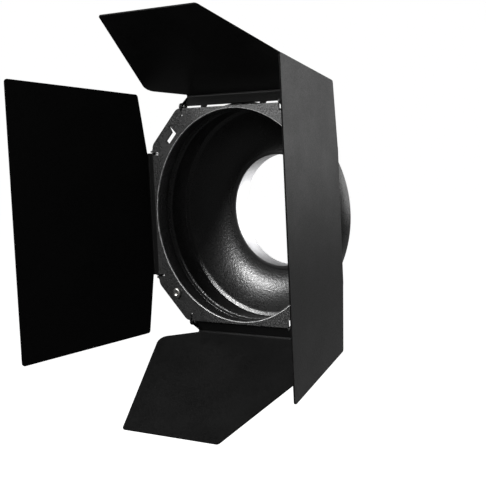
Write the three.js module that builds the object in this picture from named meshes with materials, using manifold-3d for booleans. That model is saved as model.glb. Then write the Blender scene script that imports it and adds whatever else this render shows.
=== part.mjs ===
// Four-leaf barn door set on a bayonet-mount reflector bowl.
// Millimetres, +Z up. The optical axis is Y, and light leaves towards -Y. The origin is on that
// axis, in the plane of the flat seat that meets the lamp.
import * as THREE from "three";
import { mergeVertices } from "three/addons/utils/BufferGeometryUtils.js";
import Module from "manifold-3d";

const wasm = await Module();
wasm.setup();

// ---- Driving dimensions ----
const FRONT = -63; // front face of the frame plate, as a y
const SEAT = 0; // face that rests on the lamp, as a y
const RUNNING_GAP = 0.3; // left between pieces that touch or turn on each other
const ROUND_STEPS = 48; // facets round the large turned pieces
const RIVET_STEPS = 12;
const TUBE_RIVET_STEPS = 16;
const ARC_STEPS = 8; // half the facets along an arc in a flat shape
const BEND_STEPS = 3;
const CORNER_STEPS = 4; // facets round a sheet's corner
const OVERSHOOT = 1; // how far a cutter runs past what it cuts, or an addition into what it joins

// Frame plate: an octagon of sheet with a round mouth
const PLATE_T = 1.5;
const PLATE_HALF = 91.6;
const PLATE_CUT = 152.4; // |x| + |z| along the cut corners
const PLATE_CORNER_R = 8;
const MOUTH_R = 89.8;
const SLOT_IN = 52.3; // relief slots that the leaf ears turn in
const SLOT_OUT = 54.6;
const SLOT_DEPTH = 6.5;

// Collar: a flanged ring behind the plate that runs against the bowl's rim.
// All depths are measured back from the plate's front face.
const COLLAR_IN_R = 90.2;
const COLLAR_WALL = 1.2;
const COLLAR_FLANGE_R = 93.6; // its flange stays inside the rim's edge
const RIM_FRONT_DEPTH = 14.0;

// Reflector bowl: a spun shell with a rolled rim, a bead and a shoulder
const WALL = 1.0;
const RIM_R = 94.2;
const RIM_BEAD_R = 2.3;
const RIM_STEPS = 7;
const RIM_ARC = { from: 165, to: -90 }; // from the inner wall, over the front, to the back
const BARREL_R = 89.6; // inside of the barrel
const BEAD_DEPTH = 17.8;
const BEAD_HEIGHT = 1.7;
const BEAD_HALF_LENGTH = 1.9;
const BEAD_STEPS = 4;
const SHOULDER_DEPTH = 37.6;
const SHOULDER_HALF_LENGTH = 0.6;
const SHOULDER_R = 87.0;
const BACK_DEPTH = 58.5;
const BACK_R = 54; // where the flat seat of the back ends and the dish starts
const DISH_STEPS = 8;
const BACK_HOLE_R = 50.3;

// Bayonet ring: flat flange, spigot and three lugs. Its neck passes through the bowl's back and is
// swaged over inside.
const RING_R = 62;
const RING_BORE_R = 48.6;
const NECK_R = 50.0;
const LIP_R = 51.6;
const LIP_T = 0.6;
const SPIGOT_R = 51.6;
const SPIGOT_LENGTH = 10;
const SPIGOT_CHAMFER = 0.8;
const LUG_R = 56;
const LUG_T = 2.3;
const LUG_NEAR = 5.5;
const LUG_HALF_ANGLE = THREE.MathUtils.degToRad(14);
const LUG_COUNT = 3;

// Hinges: pivots stand just off the plate's edges and a little behind its front face
const HINGE_OUT = 92.9;
const HINGE_DEPTH = 3.4;
const EAR_R = 3.2;
const EAR_TIP = 2.0; // how deep a leaf's ear still is where it ends
const EAR_INSET = 0.4; // the ear's root is set in from the plate's front face and edge
const EAR_ARC = { from: -30, to: 170 }; // round the pivot, from straight back
const PIVOT_R = 1.2;
const PIVOT_HOLE_R = 1.5;
const PIVOT_HEAD_R = 2.0;
const PIVOT_HEAD_T = 1.3;
const PIVOT_EDGE = 0.6; // how far the head's edge is drawn in
const PIVOT_CLENCH_T = 2.2;
const WASHER_R = 2.1;
const WASHER_T = 0.4;
const POCKET_R = 2.7; // room in the flange for the rivet's clenched end
const POCKET_IN = 49.7;

// Leaves: flat sheet with a narrow flange folded along the hinge side
const LEAF_T = 1.2;
const HINGE_HALF = 52.7;
const BEND_R = 2.0;
const TONGUE_CENTRE = 32; // small tongues that reach back past the pivot line
const TONGUE_HALF = 3;
const TONGUE_REACH = 1.3;
const TONGUE_T = 1.1; // a little under the flange's, so that their faces don't coincide
const PANEL_LAP = 0.2; // how far past the bend the panel's outline starts
const SIDE_LEAF = {
  flange: 10.3,
  turn: 83, // degrees from the flange's direction to the panel's
  outline: [
    { along: 8.2, half: 105.8, r: 2.5 },
    { along: 125.2, half: 123.5, r: 2.5 },
  ],
};
const END_LEAF = {
  flange: 11.8,
  turn: 97,
  outline: [
    { along: 13.4, half: 94.7, r: 7 },
    { along: 124, half: 51.3, r: 3 },
  ],
};
// beta is the panel's rest angle: 0 points away from the axis, 90 points straight forward.
// shift moves a hinge along its own line, and the panel stays centred.
// start is the gap from the pivot line to the flange: below zero, the flange reaches past the line.
const STATIONS = [
  { name: "top", turn: 0, leaf: END_LEAF, beta: 59, shift: -2.1, start: 0.7 },
  { name: "right", turn: 90, leaf: SIDE_LEAF, beta: 72, shift: 0, start: 0.7 },
  { name: "bottom", turn: 180, leaf: END_LEAF, beta: 58.5, shift: 2.1, start: -0.5 },
  { name: "left", turn: -90, leaf: SIDE_LEAF, beta: 62, shift: 0, start: 0.7 },
];
const HINGE_ENDS = [-1, 1];

// Rim claws: Z-shaped brackets riveted behind the plate, hooked behind the rolled rim
const CLAW_T = 1.2;
const CLAW_HALF = 6;
const CLAW_BEND_R = 0.9;
const CLAW_FOOT = 5; // how far the foot runs outwards past its rivet
const CLAW_CORNERS = [45, 135, -134]; // degrees from the top, clockwise from the front
const CLAW_RIVET_OUT = 98.4;
const CLAW_CLEARANCE = 0.4; // between a claw's riser and the rolled rim
const CLAW_RIVET_R = 1.6;
const CLAW_HOLE_R = 1.9;
// Outlines of the rivet's flared end and of its tail, as [radius, distance from the sheet]
const CLAW_RIVET_FLARE = [[0, 0.7], [1.7, 0.7], [2.1, 1.5], [3.3, 1.5], [4.3, 0.9], [4.6, 0]];
const CLAW_RIVET_TAIL = [[2.3, 0], [2.1, 0.9], [0, 0.9]];

// Lanced window in the fourth corner, with its tab bent forwards
const WINDOW_CORNER = -45;
const WINDOW_OUT = 99.3;
const WINDOW_OFFSET = -1.0; // along the cut corner, away from the top
const WINDOW_HALF_LENGTH = 6.4;
const WINDOW_HALF_HEIGHT = 5.2;
const TAB_LENGTH = 8;
const TAB_FROM = -7.0;
const TAB_TO = 4.6;
const TAB_T = 1.2;
const TAB_ROOT = 1.5; // length of the tab's root that lies in the plate
const TAB_BEND = THREE.MathUtils.degToRad(20);
const TAB_BEND_R = 1;

// ---- Materials ----
const paint = (color, roughness) =>
  new THREE.MeshStandardMaterial({ color, roughness, metalness: 0.2 });
const MATTE_BLACK = paint(0x0f0f10, 0.9);
const SATIN_BLACK = paint(0x2c2c2e, 0.6);
const metal = (color, roughness) =>
  new THREE.MeshStandardMaterial({ color, roughness, metalness: 1 });
const STEEL = metal(0xb9b9b6, 0.35);
const CAST_ALUMINIUM = metal(0x8f9092, 0.5);

// ---- Geometry helpers ----
const deg = THREE.MathUtils.degToRad;

function toSolid(geometry) {
  const bare = geometry.clone();
  bare.deleteAttribute("normal");
  bare.deleteAttribute("uv");
  const merged = mergeVertices(bare, 1e-4);
  return new wasm.Manifold(
    new wasm.Mesh({
      numProp: 3,
      vertProperties: new Float32Array(merged.attributes.position.array),
      triVerts: new Uint32Array(merged.index.array),
    }),
  );
}

function toGeometry(solid) {
  const mesh = solid.getMesh();
  const geometry = new THREE.BufferGeometry();
  geometry.setAttribute("position", new THREE.BufferAttribute(mesh.vertProperties, 3));
  geometry.setIndex(new THREE.BufferAttribute(mesh.triVerts, 1));
  return geometry;
}

function joined(first, geometries) {
  return geometries.map(toSolid).reduce((all, next) => all.add(next), first);
}

function cut(solid, geometries) {
  return geometries.map(toSolid).reduce((rest, hole) => rest.subtract(hole), solid);
}

// A shape drawn in x and z, as sheet between two y planes.
function sheet(shape, yLow, yHigh, curveSegments = ARC_STEPS) {
  const geometry = new THREE.ExtrudeGeometry(shape, {
    depth: yHigh - yLow,
    bevelEnabled: false,
    curveSegments,
  });
  return geometry.rotateX(Math.PI / 2).translate(0, yHigh, 0);
}

// A shape drawn in y and z, as a bar between two x planes.
function bar(shape, xLow, xHigh) {
  const geometry = new THREE.ExtrudeGeometry(shape, {
    depth: xHigh - xLow,
    bevelEnabled: false,
    curveSegments: ARC_STEPS,
  });
  const axes = new THREE.Matrix4().set(0, 0, 1, xLow, 1, 0, 0, 0, 0, 1, 0, 0, 0, 0, 0, 1);
  return geometry.applyMatrix4(axes);
}

// A closed outline turned about the Y axis, as [radius, y] with the solid on its left.
function turned(points, segments) {
  const profile = [...points, points[0]].map(([r, y]) => new THREE.Vector2(r, y));
  return new THREE.LatheGeometry(profile, segments);
}

// A solid turned about the Y axis whose outline starts and ends on the axis.
function turnedSolid(points, segments) {
  return new THREE.LatheGeometry(points.map(([r, y]) => new THREE.Vector2(r, y)), segments);
}

function rod(radius, yLow, yHigh) {
  return turnedSolid([[0, yLow], [radius, yLow], [radius, yHigh], [0, yHigh]], RIVET_STEPS);
}

// A closed polygon whose corners may be rounded: points are {x, y, r}.
function roundedShape(corners) {
  const points = [];
  corners.forEach((corner, i) => {
    const here = new THREE.Vector2(corner.x, corner.y);
    if (!corner.r) return points.push(here);
    const back = corners.at(i - 1);
    const next = corners[(i + 1) % corners.length];
    const toBack = new THREE.Vector2(back.x, back.y).sub(here).normalize();
    const toNext = new THREE.Vector2(next.x, next.y).sub(here).normalize();
    const half = toBack.angleTo(toNext) / 2;
    const bisector = toBack.clone().add(toNext).normalize();
    const centre = here.clone().addScaledVector(bisector, corner.r / Math.sin(half));
    const from = here.clone().addScaledVector(toBack, corner.r / Math.tan(half)).sub(centre);
    const sweep = (Math.PI - 2 * half) * Math.sign(toNext.cross(toBack));
    for (let k = 0; k <= CORNER_STEPS; k++) {
      const turn = (sweep * k) / CORNER_STEPS;
      points.push(from.clone().rotateAround(new THREE.Vector2(), turn).add(centre));
    }
  });
  return new THREE.Shape(points);
}

// The section of a bent strip of sheet: a centre line with rounded bends, given a thickness.
function stripSection(centreLine, thickness, bendR) {
  const line = [];
  centreLine.forEach(([x, y], i) => {
    const here = new THREE.Vector2(x, y);
    if (i === 0 || i === centreLine.length - 1) return line.push(here);
    const a = new THREE.Vector2(...centreLine[i - 1]).sub(here).normalize();
    const b = new THREE.Vector2(...centreLine[i + 1]).sub(here).normalize();
    const half = a.angleTo(b) / 2;
    const bisector = a.clone().add(b).normalize();
    const centre = here.clone().addScaledVector(bisector, bendR / Math.sin(half));
    const from = here.clone().addScaledVector(a, bendR / Math.tan(half)).sub(centre);
    const sweep = (Math.PI - 2 * half) * Math.sign(b.cross(a));
    for (let k = 0; k <= BEND_STEPS; k++) {
      const turn = (sweep * k) / BEND_STEPS;
      line.push(from.clone().rotateAround(new THREE.Vector2(), turn).add(centre));
    }
  });
  const side = (sign) =>
    line.map((point, i) => {
      const before = line[Math.max(i - 1, 0)];
      const after = line[Math.min(i + 1, line.length - 1)];
      const along = after.clone().sub(before).normalize();
      const across = new THREE.Vector2(-along.y, along.x);
      return point.clone().addScaledVector(across, (sign * thickness) / 2);
    });
  return new THREE.Shape([...side(1), ...side(-1).reverse()]);
}

function named(name, shape, material) {
  const geometry = shape instanceof THREE.BufferGeometry ? shape : toGeometry(shape);
  const mesh = new THREE.Mesh(geometry, material);
  mesh.name = name;
  return mesh;
}

// ---- Reflector ----
function bowlInnerLine() {
  const at = (depth) => FRONT + depth;
  const line = [];
  for (let k = 0; k <= BEAD_STEPS; k++) {
    const u = (k / BEAD_STEPS) * 2 - 1;
    const height = (BEAD_HEIGHT * (1 + Math.cos(Math.PI * u))) / 2;
    line.push([BARREL_R - height, at(BEAD_DEPTH + u * BEAD_HALF_LENGTH)]);
  }
  line.push([BARREL_R, at(SHOULDER_DEPTH - SHOULDER_HALF_LENGTH)]);
  const bowlStart = SHOULDER_DEPTH + SHOULDER_HALF_LENGTH;
  for (let k = 0; k <= DISH_STEPS; k++) {
    const u = 1 - k / DISH_STEPS;
    const radius = BACK_R + (SHOULDER_R - BACK_R) * u;
    line.push([radius, at(bowlStart + (BACK_DEPTH - bowlStart) * (1 - u * u))]);
  }
  line.push([BACK_HOLE_R, at(BACK_DEPTH)]);
  return line;
}

// The inner line moved outwards by the wall's thickness.
function bowlOuterLine(inner) {
  return inner.map(([r, y], i) => {
    const [r0, y0] = inner[Math.max(i - 1, 0)];
    const [r1, y1] = inner[Math.min(i + 1, inner.length - 1)];
    const length = Math.hypot(r1 - r0, y1 - y0);
    return [r + (WALL * (y1 - y0)) / length, y - (WALL * (r1 - r0)) / length];
  });
}

function reflectorBowl() {
  const inner = bowlInnerLine();
  const outer = bowlOuterLine(inner).slice(BEAD_STEPS / 2);
  const rimY = FRONT + RIM_FRONT_DEPTH + RIM_BEAD_R;
  const rim = [];
  for (let k = 0; k <= RIM_STEPS; k++) {
    const angle = deg(RIM_ARC.from + (k / RIM_STEPS) * (RIM_ARC.to - RIM_ARC.from));
    const radius = RIM_R - RIM_BEAD_R + RIM_BEAD_R * Math.cos(angle);
    rim.push([radius, rimY - RIM_BEAD_R * Math.sin(angle)]);
  }
  const outline = [...inner.toReversed(), ...rim, ...outer];
  return named("reflector_bowl", turned(outline, ROUND_STEPS), MATTE_BLACK);
}

function lug(angle) {
  const shape = new THREE.Shape();
  shape.absarc(0, 0, LUG_R, Math.PI / 2 - LUG_HALF_ANGLE, Math.PI / 2 + LUG_HALF_ANGLE, false);
  const rootR = SPIGOT_R - OVERSHOOT;
  shape.absarc(0, 0, rootR, Math.PI / 2 + LUG_HALF_ANGLE, Math.PI / 2 - LUG_HALF_ANGLE, true);
  return sheet(shape, SEAT + LUG_NEAR, SEAT + LUG_NEAR + LUG_T).rotateY(angle);
}

function bayonetRing() {
  const lipBack = FRONT + BACK_DEPTH - RUNNING_GAP;
  const flangeFront = FRONT + BACK_DEPTH + WALL + RUNNING_GAP;
  const section = [
    [RING_BORE_R, lipBack - LIP_T],
    [LIP_R, lipBack - LIP_T],
    [LIP_R, lipBack],
    [NECK_R, lipBack],
    [NECK_R, flangeFront],
    [RING_R, flangeFront],
    [RING_R, SEAT],
    [SPIGOT_R, SEAT],
    [SPIGOT_R, SEAT + SPIGOT_LENGTH - SPIGOT_CHAMFER],
    [SPIGOT_R - SPIGOT_CHAMFER, SEAT + SPIGOT_LENGTH],
    [RING_BORE_R, SEAT + SPIGOT_LENGTH],
  ];
  const lugs = Array.from({ length: LUG_COUNT }, (_, i) => lug((i * 2 * Math.PI) / LUG_COUNT));
  const solid = joined(toSolid(turned(section, ROUND_STEPS)), lugs);
  return named("bayonet_ring", solid, CAST_ALUMINIUM);
}

// ---- Frame ----
function frameCollar() {
  const front = FRONT + PLATE_T + RUNNING_GAP;
  const back = FRONT + RIM_FRONT_DEPTH - RUNNING_GAP;
  const section = [
    [COLLAR_IN_R, front],
    [COLLAR_IN_R + COLLAR_WALL, front],
    [COLLAR_IN_R + COLLAR_WALL, back - COLLAR_WALL],
    [COLLAR_FLANGE_R, back - COLLAR_WALL],
    [COLLAR_FLANGE_R, back],
    [COLLAR_IN_R, back],
  ];
  return named("frame_collar", turned(section, ROUND_STEPS), SATIN_BLACK);
}

function plateOutline() {
  const edge = PLATE_HALF;
  const end = PLATE_CUT - PLATE_HALF;
  const r = PLATE_CORNER_R;
  const shape = roundedShape([
    { x: end, y: -edge, r },
    { x: edge, y: -end, r },
    { x: edge, y: end, r },
    { x: end, y: edge, r },
    { x: -end, y: edge, r },
    { x: -edge, y: end, r },
    { x: -edge, y: -end, r },
    { x: -end, y: -edge, r },
  ]);
  shape.holes.push(new THREE.Path().absarc(0, 0, MOUTH_R, 0, Math.PI * 2, true));
  return shape;
}

// The ear bent back from the plate to carry one pivot, in the top station's frame. It stands just
// outside the relief slot.
function plateEar(side) {
  const shape = new THREE.Shape();
  shape.moveTo(FRONT + EAR_INSET, PLATE_HALF - SLOT_DEPTH);
  shape.lineTo(FRONT + PLATE_T, PLATE_HALF - SLOT_DEPTH);
  shape.absarc(FRONT + HINGE_DEPTH, HINGE_OUT, EAR_R, deg(EAR_ARC.from), deg(EAR_ARC.to), false);
  shape.lineTo(FRONT + EAR_INSET, PLATE_HALF - EAR_INSET);
  const low = side > 0 ? SLOT_OUT : -SLOT_OUT - PLATE_T;
  return bar(shape, low, low + PLATE_T);
}

function pivotHole(side) {
  return rod(PIVOT_HOLE_R, -PLATE_T, PLATE_T)
    .rotateZ(Math.PI / 2)
    .translate(side * (SLOT_OUT + PLATE_T / 2), FRONT + HINGE_DEPTH, HINGE_OUT);
}

// A box that goes right through the plate, from one z to another.
function piercing(x, width, zLow, zHigh) {
  const cutter = new THREE.BoxGeometry(width, PLATE_T + 2 * OVERSHOOT, zHigh - zLow);
  return cutter.translate(x, FRONT + PLATE_T / 2, (zLow + zHigh) / 2);
}

function reliefSlot(side) {
  const x = (side * (SLOT_IN + SLOT_OUT)) / 2;
  return piercing(x, SLOT_OUT - SLOT_IN, PLATE_HALF - SLOT_DEPTH, PLATE_HALF + OVERSHOOT);
}

function cornerWindow() {
  const low = WINDOW_OUT - WINDOW_HALF_HEIGHT;
  return piercing(WINDOW_OFFSET, 2 * WINDOW_HALF_LENGTH, low, low + 2 * WINDOW_HALF_HEIGHT);
}

function lancedTab() {
  const middle = FRONT + PLATE_T / 2;
  const bend = WINDOW_OUT + WINDOW_HALF_HEIGHT - EAR_INSET;
  const tip = [middle - TAB_LENGTH * Math.sin(TAB_BEND), bend - TAB_LENGTH * Math.cos(TAB_BEND)];
  const line = [[middle, bend + TAB_ROOT], [middle, bend], tip];
  return bar(stripSection(line, TAB_T, TAB_BEND_R), TAB_FROM, TAB_TO);
}

function atCorner(geometry, degrees) {
  return geometry.rotateY(deg(degrees));
}

function framePlate() {
  const atHinges = (make) =>
    STATIONS.flatMap(({ turn, shift }) =>
      HINGE_ENDS.map((side) => atCorner(make(side).translate(shift, 0, 0), turn)),
    );
  const clawHoles = CLAW_CORNERS.map((corner) => atCorner(clawHole(FRONT, PLATE_T), corner));
  const window = atCorner(cornerWindow(), WINDOW_CORNER);
  const tab = atCorner(lancedTab(), WINDOW_CORNER);
  const blank = toSolid(sheet(plateOutline(), FRONT, FRONT + PLATE_T, ROUND_STEPS / 2));
  const pierced = cut(blank, [...atHinges(reliefSlot), ...clawHoles, window]);
  const whole = joined(pierced, [...atHinges(plateEar), tab]);
  return named("frame_plate", cut(whole, atHinges(pivotHole)), SATIN_BLACK);
}

// A hole for a claw's rivet through sheet whose front face is at y.
function clawHole(y, thickness) {
  const hole = rod(CLAW_HOLE_R, y - OVERSHOOT, y + thickness + OVERSHOOT);
  return hole.translate(0, 0, CLAW_RIVET_OUT);
}

function rimClaw(corner, i) {
  const y = FRONT + PLATE_T + RUNNING_GAP + CLAW_T / 2;
  const hookY = FRONT + RIM_FRONT_DEPTH + 2 * RIM_BEAD_R + RUNNING_GAP + CLAW_T / 2;
  const riser = RIM_R + CLAW_CLEARANCE + CLAW_T / 2;
  const line = [
    [y, CLAW_RIVET_OUT + CLAW_FOOT],
    [y, riser],
    [hookY, riser],
    [hookY, RIM_R - RIM_BEAD_R],
  ];
  const strip = toSolid(bar(stripSection(line, CLAW_T, CLAW_BEND_R), -CLAW_HALF, CLAW_HALF));
  const claw = toGeometry(cut(strip, [clawHole(y - CLAW_T / 2, CLAW_T)]));
  return named(`rim_claw_${i + 1}`, atCorner(claw, corner), SATIN_BLACK);
}

function clawRivet(corner, i) {
  const face = FRONT - RUNNING_GAP;
  const back = FRONT + PLATE_T + CLAW_T + 2 * RUNNING_GAP;
  const outline = [
    ...CLAW_RIVET_FLARE.map(([r, out]) => [r, face - out]),
    [CLAW_RIVET_R, face],
    [CLAW_RIVET_R, back],
    ...CLAW_RIVET_TAIL.map(([r, out]) => [r, back + out]),
  ];
  const rivet = turnedSolid(outline, TUBE_RIVET_STEPS).translate(0, 0, CLAW_RIVET_OUT);
  return named(`claw_rivet_${i + 1}`, atCorner(rivet, corner), STEEL);
}

// ---- Leaves ----
// A leaf in its hinge's frame: the pivot line is X and the panel points along +Z (beta = 0).
function leafGeometry({ flange, turn, outline }, shift, start) {
  const [sin, cos] = [Math.sin(deg(turn)), Math.cos(deg(turn))];
  const onFlange = (distance) => [distance * sin, distance * cos];
  const fold = onFlange(flange);
  const panelStart = fold[1] + BEND_R * Math.tan(deg(turn) / 2);
  const line = [onFlange(start), fold, [fold[0], panelStart + LEAF_T]];
  const hingeEnd = HINGE_HALF + LEAF_T;
  const strip = bar(stripSection(line, LEAF_T, BEND_R), -hingeEnd, hingeEnd);

  const edge = (side) => [
    { x: side * hingeEnd, y: panelStart + PANEL_LAP },
    ...outline.map(({ along, half, r }) => ({ x: side * half - shift, y: fold[1] + along, r })),
  ];
  const outlineShape = roundedShape([...edge(1), ...edge(-1).toReversed()]);
  const panel = sheet(outlineShape, fold[0] - LEAF_T / 2, fold[0] + LEAF_T / 2);

  const root = onFlange(start + OVERSHOOT);
  const tongueSection = stripSection([onFlange(-TONGUE_REACH), root], TONGUE_T, 0);
  const tongues = HINGE_ENDS.map((side) => {
    const middle = side * TONGUE_CENTRE - shift;
    return bar(tongueSection, middle - TONGUE_HALF, middle + TONGUE_HALF);
  });
  const sheetMetal = joined(toSolid(strip), [panel, ...tongues]);
  const withEars = joined(cut(sheetMetal, rivetPockets()), leafEars(turn, flange));
  return cut(withEars, earBores());
}

// End ears of a leaf: tapered tabs that run from the pivot along the flange.
function leafEars(turn, flange) {
  const end = flange - BEND_R;
  const shape = new THREE.Shape();
  shape.absarc(0, 0, EAR_R, Math.PI / 2, -Math.PI / 2, false);
  shape.lineTo(end, -EAR_TIP);
  shape.lineTo(end, LEAF_T / 2);
  return [-HINGE_HALF - LEAF_T, HINGE_HALF].map((low) =>
    bar(shape, low, low + LEAF_T).rotateX(deg(90 - turn)),
  );
}

// Room inside each ear for the clenched end of the rivet.
function rivetPockets() {
  return HINGE_ENDS.map((side) =>
    rod(POCKET_R, POCKET_IN, HINGE_HALF).rotateZ((-side * Math.PI) / 2),
  );
}

// The rivet's hole through each ear.
function earBores() {
  return HINGE_ENDS.map((side) => {
    const bore = rod(PIVOT_HOLE_R, HINGE_HALF - OVERSHOOT, HINGE_HALF + LEAF_T + OVERSHOOT);
    return bore.rotateZ((-side * Math.PI) / 2);
  });
}

function hingeFrame(children, shift) {
  const group = new THREE.Group();
  group.position.set(shift, FRONT + HINGE_DEPTH, HINGE_OUT);
  group.add(...children);
  return group;
}

function pivotRivet(name, side) {
  const clench = HINGE_HALF - RUNNING_GAP;
  const head = SLOT_OUT + PLATE_T + RUNNING_GAP;
  const outline = [
    [0, clench - PIVOT_CLENCH_T],
    [PIVOT_HEAD_R - PIVOT_EDGE / 2, clench - PIVOT_CLENCH_T],
    [PIVOT_HEAD_R, clench],
    [PIVOT_R, clench],
    [PIVOT_R, head],
    [PIVOT_HEAD_R, head],
    [PIVOT_HEAD_R - PIVOT_EDGE, head + PIVOT_HEAD_T - PIVOT_EDGE / 2],
    [0, head + PIVOT_HEAD_T],
  ];
  const rivet = turnedSolid(outline, RIVET_STEPS).rotateZ((-side * Math.PI) / 2);
  return named(name, rivet, SATIN_BLACK);
}

function pivotWasher(name, side) {
  const section = [
    [PIVOT_HOLE_R, -WASHER_T / 2],
    [WASHER_R, -WASHER_T / 2],
    [WASHER_R, WASHER_T / 2],
    [PIVOT_HOLE_R, WASHER_T / 2],
  ];
  const middle = (HINGE_HALF + LEAF_T + SLOT_OUT) / 2;
  const washer = turned(section, RIVET_STEPS).rotateZ(Math.PI / 2).translate(side * middle, 0, 0);
  return named(name, washer, SATIN_BLACK);
}

function hingeStation({ name, turn, leaf, beta, shift, start }) {
  const station = new THREE.Group();
  station.rotation.y = deg(turn);
  const panel = named(`leaf_${name}`, leafGeometry(leaf, shift, start), MATTE_BLACK);
  panel.rotation.x = deg(beta);
  const fittings = HINGE_ENDS.flatMap((side, i) => [
    pivotRivet(`pivot_rivet_${name}_${i + 1}`, side),
    pivotWasher(`pivot_washer_${name}_${i + 1}`, side),
  ]);
  station.add(hingeFrame([panel, ...fittings], shift));
  return station;
}

// ---- Assembly ----
const barnDoors = new THREE.Group();
barnDoors.add(reflectorBowl(), bayonetRing());
barnDoors.add(framePlate(), frameCollar());
barnDoors.add(...CLAW_CORNERS.map(rimClaw), ...CLAW_CORNERS.map(clawRivet));
barnDoors.add(...STATIONS.map(hingeStation));

export default barnDoors;
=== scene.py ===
"""A four-leaf barn door set on a bayonet reflector bowl: its finishes and a small studio.

Lengths are in metres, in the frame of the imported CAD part: the optical axis is Y, light leaves
towards -Y, +Z is up, and the origin is on the axis in the plane that rests on the lamp.
"""

import math

import bmesh
import bpy
from mathutils import Matrix, Vector


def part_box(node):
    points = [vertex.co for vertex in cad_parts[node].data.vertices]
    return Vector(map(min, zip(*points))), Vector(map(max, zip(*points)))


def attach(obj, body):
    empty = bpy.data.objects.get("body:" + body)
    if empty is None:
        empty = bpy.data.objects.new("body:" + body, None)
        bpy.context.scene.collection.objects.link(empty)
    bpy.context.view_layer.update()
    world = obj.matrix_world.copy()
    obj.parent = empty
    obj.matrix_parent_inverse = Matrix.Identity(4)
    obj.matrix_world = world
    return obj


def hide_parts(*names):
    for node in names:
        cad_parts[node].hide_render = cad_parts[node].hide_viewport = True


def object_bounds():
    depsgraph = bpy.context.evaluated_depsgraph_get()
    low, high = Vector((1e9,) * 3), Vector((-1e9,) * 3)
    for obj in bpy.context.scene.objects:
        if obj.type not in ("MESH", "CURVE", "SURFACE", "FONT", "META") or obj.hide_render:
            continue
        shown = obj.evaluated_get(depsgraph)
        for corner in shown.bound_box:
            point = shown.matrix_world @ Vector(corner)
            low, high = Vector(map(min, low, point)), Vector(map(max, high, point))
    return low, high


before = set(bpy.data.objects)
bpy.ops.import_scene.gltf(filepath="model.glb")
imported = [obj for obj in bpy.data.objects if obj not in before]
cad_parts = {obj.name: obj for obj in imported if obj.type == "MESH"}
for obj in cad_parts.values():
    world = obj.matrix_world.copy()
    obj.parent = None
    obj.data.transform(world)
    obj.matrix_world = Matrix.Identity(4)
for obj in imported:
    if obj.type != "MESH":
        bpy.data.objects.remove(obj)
cad_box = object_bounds()
MM = 0.001

# ---- Dimensions, in millimetres ----
# Radii, depths and thicknesses of whole pieces are the CAD's. Step counts are finer, and small
# roundings are added. A depth is measured back from the front face of the frame plate.
FRONT = -63.0  # that front face, as a y
GAP = 0.3
SEGMENTS = 192

PLATE_T = 1.5
LIP_IN_R = 89.35  # the dressed edge of the mouth covers the CAD's facets
LIP_OUT_R = 90.0
LIP_PROUD = 0.08
LIP_SEGMENTS = 256
LIP_STEPS = 16

COLLAR_IN_R = 90.2
COLLAR_WALL = 1.2
COLLAR_FLANGE_R = 93.6
COLLAR_EDGE_R = 0.4
RIM_FRONT_DEPTH = 14.0

WALL = 1.0
RIM_R = 94.2
RIM_BEAD_R = 2.3
RIM_ARC = (165, -90)  # degrees, from the inner wall, over the front, to the back
RIM_STEPS = 24
BARREL_R = 89.6
BEAD_DEPTH = 17.8
BEAD_HEIGHT = 1.7
BEAD_HALF_LENGTH = 1.9
BEAD_STEPS = 16
SHOULDER_DEPTH = 37.6
SHOULDER_HALF_LENGTH = 0.6
SHOULDER_R = 87.0
SHOULDER_LEAD = 0.5
SHOULDER_DIP = 0.15
SHOULDER_FOOT_OUT = 0.5
SHOULDER_FOOT_LEAD = 0.12
DISH_STEPS = 28
BACK_DEPTH = 58.5
BACK_R = 54.0
BACK_HOLE_R = 50.3

RING_R = 62.0
RING_BORE_R = 48.6
NECK_R = 50.0
NECK_LIP_R = 51.6
NECK_LIP_T = 0.6
RING_EDGE_R = 0.25
SPIGOT_R = 51.6
SPIGOT_LENGTH = 10.0
SPIGOT_CHAMFER = 0.8
LUG_R = 56.0
LUG_T = 2.3
LUG_NEAR = 5.5
LUG_HALF_ANGLE = 14.0
LUG_COUNT = 3
LUG_ROOT = 0.4  # how far a lug reaches into the spigot
LUG_TAPER = 0.9
LUG_FULL_SHARE = 0.8  # the share of a lug's length that has its full height

# The outlines of the rivets are (radius, distance along the rivet).
CLAW_RIVET_R = 1.6
CLAW_RIVET_SEGMENTS = 40
CLAW_RIVET_RECESS = [(0, -0.75), (1.1, -0.78), (1.5, -0.9), (1.85, -1.25), (2.15, -1.43)]
CLAW_RIVET_FLARE = [(2.6, -1.5), (3.3, -1.45), (4.0, -1.15), (4.4, -0.65), (4.55, -0.12), (4.5, 0)]
CLAW_RIVET_TAIL = [(2.25, 3.3), (2.2, 3.9), (1.9, 4.2), (0, 4.2)]
CLAW_RIVET_TAIL_START = 3.3

PIVOT_R = 1.2
PIVOT_SEGMENTS = 28
PIVOT_HEAD_R = 2.0
PIVOT_HEAD_T = 1.3
PIVOT_CLENCH_T = 2.2
PIVOT_CORNER = 0.05
PIVOT_CLENCH_CORNER = 0.2
PIVOT_CLENCH = [(0, 0.5), (0.7, 0.45), (1.0, 0), (1.6, 0.1), (1.9, 0.6)]
PIVOT_DOME = [(PIVOT_HEAD_R, 0.25), (1.85, 0.7), (1.45, 1.06), (0.8, 1.26)]
PIVOT_HOLE_R = 1.5
WASHER_R = 2.1
WASHER_EDGE_R = 0.08

SHEET_EDGE_R = 0.22
SHEET_WELD = 0.005
SHEET_FLAT_ANGLE = 0.8  # degrees
SHEET_SHARP_ANGLE = 40  # degrees


# ---- Mesh building ----
FILLET_STEPS = 4
FILLET_REACH = 0.45  # a fillet takes no more than this share of the straight beside it
CORNER_ANGLE = 25  # degrees, past which an outline's corner is rounded
LUG_STEPS = 14


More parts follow.
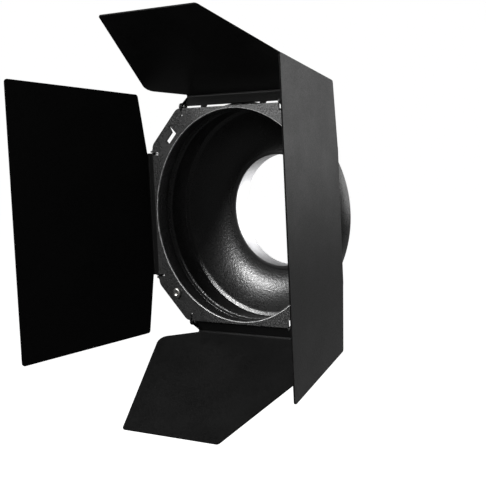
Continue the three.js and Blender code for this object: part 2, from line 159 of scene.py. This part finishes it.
def fillet(corner, before, after, radius):
    """The points of a curve that rounds one corner of a flat outline."""
    here, a, b = Vector(corner), Vector(before), Vector(after)
    to_a, to_b = (a - here).normalized(), (b - here).normalized()
    half = to_a.angle(to_b) / 2
    room = [FILLET_REACH * (end - here).length for end in (a, b)]
    reach = min(radius / math.tan(half), *room)
    start, end = here + to_a * reach, here + to_b * reach
    points = []
    for k in range(FILLET_STEPS + 1):
        t = k / FILLET_STEPS
        points.append((1 - t) ** 2 * start + 2 * t * (1 - t) * here + t**2 * end)
    return [tuple(p) for p in points]


def softened(outline, radius):
    """A closed outline with each of its sharp corners rounded."""
    points = []
    for i, corner in enumerate(outline):
        before, after = outline[i - 1], outline[(i + 1) % len(outline)]
        bend = (Vector(corner) - Vector(before)).angle(Vector(after) - Vector(corner), 0)
        if bend > math.radians(CORNER_ANGLE):
            points += fillet(corner, before, after, radius)
        else:
            points.append(corner)
    return points


def ring_mesh(bm, outline, segments=SEGMENTS):
    """A closed outline of (radius, y) in millimetres, turned about the Y axis."""
    rings = []
    for k in range(segments):
        angle = 2 * math.pi * k / segments
        s, c = math.sin(angle), math.cos(angle)
        rings.append([bm.verts.new((r * s * MM, y * MM, r * c * MM)) for r, y in outline])
    count = len(outline)
    for k, ring in enumerate(rings):
        other = rings[(k + 1) % segments]
        for i in range(count):
            j = (i + 1) % count
            bm.faces.new((ring[i], ring[j], other[j], other[i]))


def spindle_mesh(bm, outline, segments):
    """An outline of (radius, y) from axis to axis, in millimetres, turned about the Y axis."""
    first = bm.verts.new((0, outline[0][1] * MM, 0))
    last = bm.verts.new((0, outline[-1][1] * MM, 0))
    angles = [2 * math.pi * k / segments for k in range(segments)]
    rings = []
    for r, y in outline[1:-1]:
        places = [(r * math.sin(a) * MM, y * MM, r * math.cos(a) * MM) for a in angles]
        rings.append([bm.verts.new(place) for place in places])
    for k in range(segments):
        j = (k + 1) % segments
        bm.faces.new((first, rings[0][j], rings[0][k]))
        bm.faces.new((last, rings[-1][k], rings[-1][j]))
        for low, high in zip(rings, rings[1:]):
            bm.faces.new((low[k], low[j], high[j], high[k]))


def arc_block(bm, r_in, r_out, y_low, y_high, centre, half_angle):
    """A block of a ring: one bayonet lug, lower towards both of its ends."""
    columns = []
    for k in range(LUG_STEPS + 1):
        t = 2 * k / LUG_STEPS - 1
        angle = centre + t * half_angle
        r = r_out - LUG_TAPER * max(0.0, abs(t) - LUG_FULL_SHARE) / (1 - LUG_FULL_SHARE)
        corners = [(r_in, y_low), (r, y_low), (r, y_high), (r_in, y_high)]
        s, c = math.sin(angle), math.cos(angle)
        columns.append([bm.verts.new((q * s * MM, y * MM, q * c * MM)) for q, y in corners])
    for left, right in zip(columns, columns[1:]):
        for i in range(4):
            j = (i + 1) % 4
            bm.faces.new((left[i], left[j], right[j], right[i]))
    bm.faces.new(columns[0])
    bm.faces.new(columns[-1][::-1])


def finished(name, bm, sharp=40):
    """An object from a bmesh: normals out, smooth shading, and crisp edges past sharp degrees."""
    bmesh.ops.recalc_face_normals(bm, faces=bm.faces)
    for face in bm.faces:
        face.smooth = True
    for edge in bm.edges:
        edge.smooth = edge.calc_face_angle(0) < math.radians(sharp)
    mesh = bpy.data.meshes.new(name)
    bm.to_mesh(mesh)
    bm.free()
    piece = bpy.data.objects.new(name, mesh)
    bpy.context.scene.collection.objects.link(piece)
    return piece


def stands_for(piece, body, slot, material, *nodes):
    """Gives a piece its material and body, and hides the CAD nodes that it replaces, if any. The
    slot argument is not used.
    """
    piece.data.materials.append(material)
    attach(piece, body)
    if nodes:
        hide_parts(*nodes)
    return piece


# ---- Materials ----
CORNER_BENDS = (0.02, 0.2)  # one minus the cosine of a bend, where a corner starts and is full
RUB_RADIUS = 0.0005  # metres
CLOUD_SCALE = 28
MARK_SCALE = 260
PEEL_SHARE = 0.55
CLOUD_GLOSS = 0.035
GRAIN_GLOSS = 0.09
RUB_GLOSS = 0.18


class Nodes:
    """Short calls for building one material's node tree."""

    def __init__(self, name):
        self.material = bpy.data.materials.new(name)
        self.material.use_nodes = True
        self.tree = self.material.node_tree
        self.shader = self.tree.nodes["Principled BSDF"]
        self.place = self.add("ShaderNodeTexCoord").outputs["Object"]

    def add(self, kind, **settings):
        node = self.tree.nodes.new(kind)
        for key, value in settings.items():
            setattr(node, key, value)
        return node

    def link(self, source, target):
        self.tree.links.new(source, target)

    def noise(self, scale, detail=3.0, roughness=0.5):
        node = self.add("ShaderNodeTexNoise")
        node.inputs["Scale"].default_value = scale
        node.inputs["Detail"].default_value = detail
        node.inputs["Roughness"].default_value = roughness
        self.link(self.place, node.inputs["Vector"])
        return node.outputs["Fac"]

    def cells(self, scale):
        node = self.add("ShaderNodeTexVoronoi", feature="SMOOTH_F1")
        node.inputs["Scale"].default_value = scale
        self.link(self.place, node.inputs["Vector"])
        return node.outputs["Distance"]

    def spread(self, value, low, high, to_low, to_high):
        """A value moved in a straight line from low..high to to_low..to_high, and clamped there."""
        node = self.add("ShaderNodeMapRange")
        limits = {"From Min": low, "From Max": high, "To Min": to_low, "To Max": to_high}
        for key, number in limits.items():
            node.inputs[key].default_value = number
        self.link(value, node.inputs["Value"])
        return node.outputs["Result"]

    def math(self, operation, a, b=0.0):
        node = self.add("ShaderNodeMath", operation=operation)
        for socket, value in zip(node.inputs, (a, b)):
            if isinstance(value, (int, float)):
                socket.default_value = value
            else:
                self.link(value, socket)
        return node.outputs[0]

    def mixed(self, share, low, high):
        node = self.add("ShaderNodeMix", data_type="RGBA")
        self.link(share, node.inputs["Factor"])
        for key, colour in (("A", low), ("B", high)):
            socket = next(s for s in node.inputs if s.name == key and s.type == "RGBA")
            if isinstance(colour, tuple):
                socket.default_value = (*colour, 1)
            else:
                self.link(colour, socket)
        return next(s for s in node.outputs if s.type == "RGBA")

    def edges(self, radius):
        """1 on the corners of the shape, 0 on its flats."""
        bevel = self.add("ShaderNodeBevel", samples=4)
        bevel.inputs["Radius"].default_value = radius
        flat = self.add("ShaderNodeNewGeometry").outputs["Normal"]
        dot = self.add("ShaderNodeVectorMath", operation="DOT_PRODUCT")
        self.link(bevel.outputs["Normal"], dot.inputs[0])
        self.link(flat, dot.inputs[1])
        bend = self.math("SUBTRACT", 1.0, dot.outputs["Value"])
        return self.spread(bend, *CORNER_BENDS, 0, 1)

    def bump(self, height, distance, strength=1.0):
        node = self.add("ShaderNodeBump")
        node.inputs["Strength"].default_value = strength
        node.inputs["Distance"].default_value = distance
        self.link(height, node.inputs["Height"])
        return node.outputs["Normal"]

    def set(self, **values):
        """Sets the shader's own sockets, which are the same all over the surface."""
        for key, value in values.items():
            self.shader.inputs[key.replace("_", " ")].default_value = value


def grey(level, warm=0.0):
    """A grey of the given reflectance, warmer where warm is above 0."""
    return (level * (1 + warm), level, level * (1 - warm))


def painted(name, level, roughness, specular, grain, grain_height, wear, wear_level=0.10):
    """Paint over metal: a fine powder grain, uneven gloss and rubbed corners.

    level is the paint's reflectance and wear_level that of its rubbed corners. grain is the grain's
    frequency, in cells to a metre, and grain_height its height in metres.
    """
    n = Nodes(name)
    fine = n.noise(grain, detail=2.0, roughness=0.6)
    peel = n.cells(grain * PEEL_SHARE)
    cloud = n.noise(CLOUD_SCALE, detail=4.0, roughness=0.6)
    marks = n.noise(MARK_SCALE, detail=5.0, roughness=0.7)

    paint = n.mixed(n.spread(cloud, 0.35, 0.65, 0, 1), grey(level * 0.7), grey(level * 1.1))
    paint = n.mixed(n.spread(fine, 0.42, 0.62, 0, 1), paint, grey(level * 2.2))
    rubbed = n.math("MULTIPLY", n.edges(RUB_RADIUS), n.spread(marks, 0.44, 0.62, 0, wear))
    n.link(n.mixed(rubbed, paint, grey(wear_level, 0.02)), n.shader.inputs["Base Color"])

    gloss = n.spread(cloud, 0.3, 0.7, roughness - CLOUD_GLOSS, roughness + CLOUD_GLOSS)
    gloss = n.math("ADD", gloss, n.spread(fine, 0.35, 0.65, -GRAIN_GLOSS, GRAIN_GLOSS))
    gloss = n.math("SUBTRACT", gloss, n.math("MULTIPLY", rubbed, RUB_GLOSS))
    n.link(gloss, n.shader.inputs["Roughness"])

    height = n.math("ADD", n.math("MULTIPLY", fine, 0.65), n.math("MULTIPLY", peel, 0.5))
    n.link(n.bump(height, grain_height), n.shader.inputs["Normal"])
    n.set(Specular_IOR_Level=specular)
    return n.material


def plated_steel(name):
    """Bright plated steel: fine scratches and slight staining."""
    n = Nodes(name)
    cloud = n.noise(420, detail=3.0)
    scratch = n.noise(5200, detail=2.0)
    n.link(n.mixed(n.spread(cloud, 0.35, 0.7, 0, 1), (0.62, 0.61, 0.59), (0.42, 0.41, 0.39)),
           n.shader.inputs["Base Color"])
    n.link(n.spread(cloud, 0.3, 0.7, 0.22, 0.4), n.shader.inputs["Roughness"])
    n.link(n.bump(scratch, 0.00002, 0.5), n.shader.inputs["Normal"])
    n.set(Metallic=1.0)
    return n.material


LATHE_FREQUENCY = 9000.0  # radians to a metre
PAINT_EDGE = 0.0001  # metres


def machined_ring(name, painted_in_front_of):
    """A turned aluminium ring with lathe marks, whose lip inside the bowl is painted black."""
    n = Nodes(name)
    axes = n.add("ShaderNodeSeparateXYZ")
    n.link(n.place, axes.inputs[0])
    radius = n.math("POWER", axes.outputs["X"], 2.0)
    radius = n.math("POWER", n.math("ADD", radius, n.math("POWER", axes.outputs["Z"], 2.0)), 0.5)
    across = n.math("ADD", radius, axes.outputs["Y"])
    groove = n.math("SINE", n.math("MULTIPLY", across, LATHE_FREQUENCY))
    cloud = n.noise(90, detail=4.0)
    fine = n.noise(1300, detail=2.0)
    metal = n.mixed(n.spread(cloud, 0.3, 0.7, 0, 1), (0.62, 0.62, 0.63), (0.54, 0.54, 0.55))
    start, end = painted_in_front_of - PAINT_EDGE, painted_in_front_of + PAINT_EDGE
    behind = n.spread(axes.outputs["Y"], start, end, 0, 1)
    n.link(n.mixed(behind, grey(0.008), metal), n.shader.inputs["Base Color"])
    n.link(behind, n.shader.inputs["Metallic"])
    n.link(n.spread(cloud, 0.3, 0.7, 0.4, 0.48), n.shader.inputs["Roughness"])
    height = n.math("ADD", n.math("MULTIPLY", groove, 0.25), n.math("MULTIPLY", fine, 0.4))
    n.link(n.bump(height, 0.00002, 0.6), n.shader.inputs["Normal"])
    return n.material


bowl_paint = painted(
    "bowl_powder_coat",
    level=0.006, roughness=0.34, specular=0.8, grain=1150, grain_height=0.00024, wear=0.4,
)
frame_paint = painted(
    "frame_powder_coat",
    level=0.009, roughness=0.34, specular=0.7, grain=1250, grain_height=0.0003, wear=0.3,
)
# The mouth's edge is given a pale, glossy colour like bare metal: a painted highlight along its
# thin edge.
edge_highlight_paint = painted(
    "painted_highlight_edge",
    level=0.30, roughness=0.30, specular=1.0, grain=1100, grain_height=0.00004, wear=0.5,
    wear_level=0.5,
)
leaf_paint = painted(
    "leaf_paint",
    level=0.004, roughness=0.39, specular=0.14, grain=1500, grain_height=0.00006, wear=0.6,
    wear_level=0.06,
)
steel = plated_steel("plated_steel")
ring_metal = machined_ring("machined_aluminium", (FRONT + BACK_DEPTH + 0.5) * MM)


# ---- Reflector ----
def bowl_inner_line():
    """The inside of the spun shell, as (radius, y), from the bead to the hole in its back."""
    line = []
    for k in range(BEAD_STEPS + 1):
        u = 2 * k / BEAD_STEPS - 1
        height = BEAD_HEIGHT * (1 + math.cos(math.pi * u)) / 2
        line.append((BARREL_R - height, FRONT + BEAD_DEPTH + u * BEAD_HALF_LENGTH))
    line.append((BARREL_R, FRONT + SHOULDER_DEPTH - SHOULDER_HALF_LENGTH - SHOULDER_LEAD))
    line.append((BARREL_R - SHOULDER_DIP, FRONT + SHOULDER_DEPTH - SHOULDER_HALF_LENGTH))
    start = SHOULDER_DEPTH + SHOULDER_HALF_LENGTH
    line.append((SHOULDER_R + SHOULDER_FOOT_OUT, FRONT + start - SHOULDER_FOOT_LEAD))
    for k in range(DISH_STEPS + 1):
        u = 1 - k / DISH_STEPS
        radius = BACK_R + (SHOULDER_R - BACK_R) * u
        line.append((radius, FRONT + start + (BACK_DEPTH - start) * (1 - u * u)))
    line.append((BACK_HOLE_R, FRONT + BACK_DEPTH))
    return line


def moved_out(line, distance):
    """A line of (radius, y) moved square to itself, away from the axis, by a distance."""
    moved = []
    for i, (r, y) in enumerate(line):
        r0, y0 = line[max(i - 1, 0)]
        r1, y1 = line[min(i + 1, len(line) - 1)]
        length = math.hypot(r1 - r0, y1 - y0)
        moved.append((r + distance * (y1 - y0) / length, y - distance * (r1 - r0) / length))
    return moved


def reflector_bowl():
    inner = bowl_inner_line()
    outer = moved_out(inner, WALL)[BEAD_STEPS // 2 :]  # from the crest of the bead
    rim_y = FRONT + RIM_FRONT_DEPTH + RIM_BEAD_R
    rim = []
    for k in range(RIM_STEPS + 1):
        angle = math.radians(RIM_ARC[0] + k / RIM_STEPS * (RIM_ARC[1] - RIM_ARC[0]))
        radius = RIM_R - RIM_BEAD_R + RIM_BEAD_R * math.cos(angle)
        rim.append((radius, rim_y - RIM_BEAD_R * math.sin(angle)))
    bm = bmesh.new()
    ring_mesh(bm, inner[::-1] + rim + outer)
    piece = finished("bowl_shell", bm)
    return stands_for(piece, "reflector", "matte_black", bowl_paint, "reflector_bowl")


def bayonet_ring():
    lip_back = FRONT + BACK_DEPTH - GAP
    flange_front = FRONT + BACK_DEPTH + WALL + GAP
    section = softened(
        [
            (RING_BORE_R, lip_back - NECK_LIP_T),
            (NECK_LIP_R, lip_back - NECK_LIP_T),
            (NECK_LIP_R, lip_back),
            (NECK_R, lip_back),
            (NECK_R, flange_front),
            (RING_R, flange_front),
            (RING_R, 0),
            (SPIGOT_R, 0),
            (SPIGOT_R, SPIGOT_LENGTH - SPIGOT_CHAMFER),
            (SPIGOT_R - SPIGOT_CHAMFER, SPIGOT_LENGTH),
            (RING_BORE_R, SPIGOT_LENGTH),
        ],
        RING_EDGE_R,
    )
    bm = bmesh.new()
    ring_mesh(bm, section)
    for k in range(LUG_COUNT):
        centre = 2 * math.pi * k / LUG_COUNT
        half = math.radians(LUG_HALF_ANGLE)
        arc_block(bm, SPIGOT_R - LUG_ROOT, LUG_R, LUG_NEAR, LUG_NEAR + LUG_T, centre, half)
    piece = finished("bayonet_mount_ring", bm)
    return stands_for(piece, "reflector", "cast_aluminium", ring_metal, "bayonet_ring")


# ---- Frame ----
def frame_collar():
    front = FRONT + PLATE_T + GAP
    back = FRONT + RIM_FRONT_DEPTH - GAP
    section = softened(
        [
            (COLLAR_IN_R, front),
            (COLLAR_IN_R + COLLAR_WALL, front),
            (COLLAR_IN_R + COLLAR_WALL, back - COLLAR_WALL),
            (COLLAR_FLANGE_R, back - COLLAR_WALL),
            (COLLAR_FLANGE_R, back),
            (COLLAR_IN_R, back),
        ],
        COLLAR_EDGE_R,
    )
    bm = bmesh.new()
    ring_mesh(bm, section)
    piece = finished("collar", bm)
    return stands_for(piece, "frame", "satin_black", frame_paint, "frame_collar")


def mouth_lip():
    """The dressed edge of the plate's mouth, a little proud of its faces."""
    middle, half = FRONT + PLATE_T / 2, PLATE_T / 2 + LIP_PROUD
    outline = []
    for k in range(LIP_STEPS + 1):
        angle = math.pi * (0.5 + k / LIP_STEPS)
        reach = (LIP_OUT_R - LIP_IN_R) * math.cos(angle)
        outline.append((LIP_OUT_R + reach, middle - half * math.sin(angle)))
    bm = bmesh.new()
    ring_mesh(bm, outline, LIP_SEGMENTS)
    piece = finished("mouth_edge", bm)
    # Its pale colour is a painted highlight along the mouth's edge.
    return stands_for(piece, "frame", "satin_black", edge_highlight_paint)


def claw_rivet(number):
    """A tubular rivet with a flared, open end. Its node says where it is."""
    node = f"claw_rivet_{number}"
    low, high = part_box(node)
    shank = [(CLAW_RIVET_R, 0), (CLAW_RIVET_R, CLAW_RIVET_TAIL_START)]
    bm = bmesh.new()
    outline = CLAW_RIVET_RECESS + CLAW_RIVET_FLARE + shank + CLAW_RIVET_TAIL
    spindle_mesh(bm, outline, CLAW_RIVET_SEGMENTS)
    piece = finished(f"{node}_turned", bm, sharp=50)
    seat = FRONT - GAP
    piece.location = ((low.x + high.x) / 2, seat * MM, (low.z + high.z) / 2)
    return stands_for(piece, "frame", "bare_steel", steel, node)


def along_box(node):
    """A pivot fitting's centre, its direction away from the middle of the leaf, and its length."""
    low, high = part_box(node)
    centre = (low + high) / 2
    sideways = "top" in node or "bottom" in node
    axis = Vector((1, 0, 0)) if sideways else Vector((0, 0, 1))
    return centre, axis * (1 if centre.dot(axis) > 0 else -1), (high - low).dot(axis) / MM


def lay_along(piece, centre, direction):
    """Turns a piece made along +Y to point along direction, at centre."""
    turn = Vector((0, 1, 0)).rotation_difference(direction)
    piece.matrix_world = Matrix.Translation(centre) @ turn.to_matrix().to_4x4()


def pivot_rivet(node):
    """A rivet with its domed head on the outer side and its clenched tail on the inner side."""
    centre, direction, length = along_box(node)
    start, end = -length / 2, length / 2
    clenched = start + PIVOT_CLENCH_T
    head = end - PIVOT_HEAD_T
    outline = [(r, start + y) for r, y in PIVOT_CLENCH]
    outline += [(PIVOT_HEAD_R, clenched - PIVOT_CLENCH_CORNER)]
    outline += [(PIVOT_HEAD_R - PIVOT_CORNER, clenched), (PIVOT_R, clenched)]
    outline += [(PIVOT_R, head), (PIVOT_HEAD_R - PIVOT_CORNER, head)]
    outline += [(r, head + y) for r, y in PIVOT_DOME]
    outline += [(0, end)]
    bm = bmesh.new()
    spindle_mesh(bm, outline, PIVOT_SEGMENTS)
    piece = finished(f"{node}_turned", bm, sharp=55)
    lay_along(piece, centre, direction)
    return stands_for(piece, "frame", "satin_black", frame_paint, node)


def pivot_washer(node):
    centre, direction, thickness = along_box(node)
    half = thickness / 2
    section = [(PIVOT_HOLE_R, -half), (WASHER_R, -half), (WASHER_R, half), (PIVOT_HOLE_R, half)]
    bm = bmesh.new()
    ring_mesh(bm, softened(section, WASHER_EDGE_R), PIVOT_SEGMENTS)
    piece = finished(f"{node}_turned", bm)
    lay_along(piece, centre, direction)
    return stands_for(piece, "frame", "satin_black", frame_paint, node)


# ---- Sheet pieces, which keep their CAD meshes ----
def flat_shading():
    """A node group that shades every face flat.

    Where faces have been merged, the big face can be left smooth with its normals far off.
    """
    group = bpy.data.node_groups.get("flat_shading")
    if group is None:
        group = bpy.data.node_groups.new("flat_shading", "GeometryNodeTree")
        group.interface.new_socket("Geometry", in_out="INPUT", socket_type="NodeSocketGeometry")
        group.interface.new_socket("Geometry", in_out="OUTPUT", socket_type="NodeSocketGeometry")
        start = group.nodes.new("NodeGroupInput")
        shade = group.nodes.new("GeometryNodeSetShadeSmooth")
        end = group.nodes.new("NodeGroupOutput")
        shade.inputs["Shade Smooth"].default_value = False
        group.links.new(start.outputs[0], shade.inputs["Geometry"])
        group.links.new(shade.outputs["Geometry"], end.inputs[0])
    return group


def dress_sheet(node, material):
    """Gives a sheet-metal CAD node its material, and rounds its edges with modifiers."""
    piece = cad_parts[node]
    piece.data.materials.clear()
    piece.data.materials.append(material)
    weld = piece.modifiers.new("weld", "WELD")
    weld.merge_threshold = SHEET_WELD * MM
    merge = piece.modifiers.new("flats", "DECIMATE")
    merge.decimate_type = "DISSOLVE"
    merge.angle_limit = math.radians(SHEET_FLAT_ANGLE)
    bevel = piece.modifiers.new("edges", "BEVEL")
    bevel.width = SHEET_EDGE_R * MM
    bevel.segments = 2
    bevel.limit_method = "ANGLE"
    bevel.angle_limit = math.radians(SHEET_SHARP_ANGLE)
    bevel.use_clamp_overlap = True
    shading = piece.modifiers.new("flat_faces", "NODES")
    shading.node_group = flat_shading()


reflector_bowl()
mount_ring = bayonet_ring()
frame_collar()
mouth_lip()
for number in (1, 2, 3):
    claw_rivet(number)
    dress_sheet(f"rim_claw_{number}", frame_paint)
for station in ("top", "right", "bottom", "left"):
    for number in (1, 2):
        pivot_rivet(f"pivot_rivet_{station}_{number}")
        pivot_washer(f"pivot_washer_{station}_{number}")
    dress_sheet(f"leaf_{station}", leaf_paint)
dress_sheet("frame_plate", frame_paint)


# ---- Camera ----
AZIMUTH, ELEVATION, ROLL = 40.1281, 3.9418, -2.7112  # degrees
DISTANCE = 1.06457  # metres, from the middle of the mouth
AIM_RIGHT, AIM_UP = 0.0048, -0.0271  # how far off the mouth's middle it looks, as tangents
LENS, SENSOR_WIDTH = 91.92, 36  # millimetres
CLIP_START, CLIP_END = 0.05, 50


def photo_camera():
    """The camera at the photo's angle, from a fit to the photo's edges."""
    az, el, roll = (math.radians(v) for v in (AZIMUTH, ELEVATION, ROLL))
    back = Vector((math.sin(az) * math.cos(el), -math.cos(az) * math.cos(el), math.sin(el)))
    place = Vector((0, FRONT * MM, 0)) + back * DISTANCE
    right = (-back).cross(Vector((0, 0, 1))).normalized()
    up = right.cross(-back)
    ahead = (-back + right * AIM_RIGHT + up * AIM_UP).normalized()
    right = ahead.cross(up).normalized()
    up = right.cross(ahead)
    tilted_right = math.cos(roll) * right + math.sin(roll) * up
    tilted_up = -math.sin(roll) * right + math.cos(roll) * up
    turn = Matrix((tilted_right, tilted_up, -ahead)).transposed()
    data = bpy.data.cameras.new("camera")
    data.lens, data.sensor_width, data.sensor_fit = LENS, SENSOR_WIDTH, "AUTO"
    data.clip_start, data.clip_end = CLIP_START, CLIP_END
    camera = bpy.data.objects.new("camera", data)
    camera.matrix_world = Matrix.Translation(place) @ turn.to_4x4()
    bpy.context.scene.collection.objects.link(camera)
    bpy.context.scene.camera = camera


photo_camera()


# ---- Studio ----
# The floor and backdrop only show to the camera. The panels and the world light the object.
FLOOR_HALF = 12
FLOOR_DROP = 0.45  # below the object's lowest point
BACKDROP_R = 11


def plain_surface(name, level, glow):
    n = Nodes(name)
    mottle = n.noise(3, detail=2.0)
    n.link(n.mixed(mottle, grey(level * 0.995), grey(level)), n.shader.inputs["Base Color"])
    n.set(Roughness=0.8, Emission_Color=(1, 1, 1, 1), Emission_Strength=glow)
    return n.material


def studio_floor():
    bm = bmesh.new()
    bmesh.ops.create_grid(bm, x_segments=1, y_segments=1, size=FLOOR_HALF)
    piece = finished("floor", bm)
    piece.location.z = cad_box[0][2] - FLOOR_DROP
    piece.data.materials.append(plain_surface("pale_floor", 0.9, 0.93))
    piece.visible_glossy = False
    piece.visible_diffuse = False


def studio_backdrop():
    bm = bmesh.new()
    bmesh.ops.create_uvsphere(bm, u_segments=48, v_segments=24, radius=BACKDROP_R)
    piece = finished("backdrop", bm, sharp=180)
    piece.data.materials.append(plain_surface("white_backdrop", 0.0, 1.0))
    piece.visible_glossy = False
    piece.visible_diffuse = False
    piece.visible_shadow = False


def panel_light(name, azimuth, elevation, distance, side, power, aim=(0, -0.05, 0)):
    """A soft square panel of light. Azimuth 0 is in front of the mouth, and 90 on its +X side."""
    az, el = math.radians(azimuth), math.radians(elevation)
    away = Vector((math.sin(az) * math.cos(el), -math.cos(az) * math.cos(el), math.sin(el)))
    data = bpy.data.lights.new(name, "AREA")
    data.shape = "RECTANGLE"
    data.size = data.size_y = side
    data.energy = power
    light = bpy.data.objects.new(name, data)
    light.location = Vector(aim) + away * distance
    light.rotation_euler = away.to_track_quat("Z", "Y").to_euler()
    light.visible_camera = False
    bpy.context.scene.collection.objects.link(light)
    return light


def ambient(strength):
    world = bpy.data.worlds.new("studio")
    bpy.context.scene.world = world
    world.use_nodes = True
    background = world.node_tree.nodes["Background"]
    background.inputs["Color"].default_value = (1, 1, 1, 1)
    background.inputs["Strength"].default_value = strength


bpy.context.scene.view_settings.view_transform = "Standard"
studio_floor()
studio_backdrop()
ambient(0.08)
panel_light("key", azimuth=-27, elevation=32, distance=2.0, side=0.5, power=48)
panel_light("side_fill", azimuth=-60, elevation=8, distance=2.0, side=0.8, power=22)
panel_light("behind", azimuth=165, elevation=8, distance=2.0, side=0.8, power=5.6)
# The floor hides the lower part of this one from the object.
panel_light("behind_low", azimuth=180, elevation=-22, distance=2.0, side=0.8, power=0.8)
# The next light stands in for the pale face of the lamp that the throat looks on to. It lights the
# ring alone.
lamp_face = panel_light(
    "lamp_face", azimuth=165, elevation=0, distance=0.06, side=0.09, power=0.08, aim=(0, 0, 0)
)
beside_lamp = bpy.data.collections.new("beside_lamp")
beside_lamp.objects.link(mount_ring)
lamp_face.light_linking.receiver_collection = beside_lamp
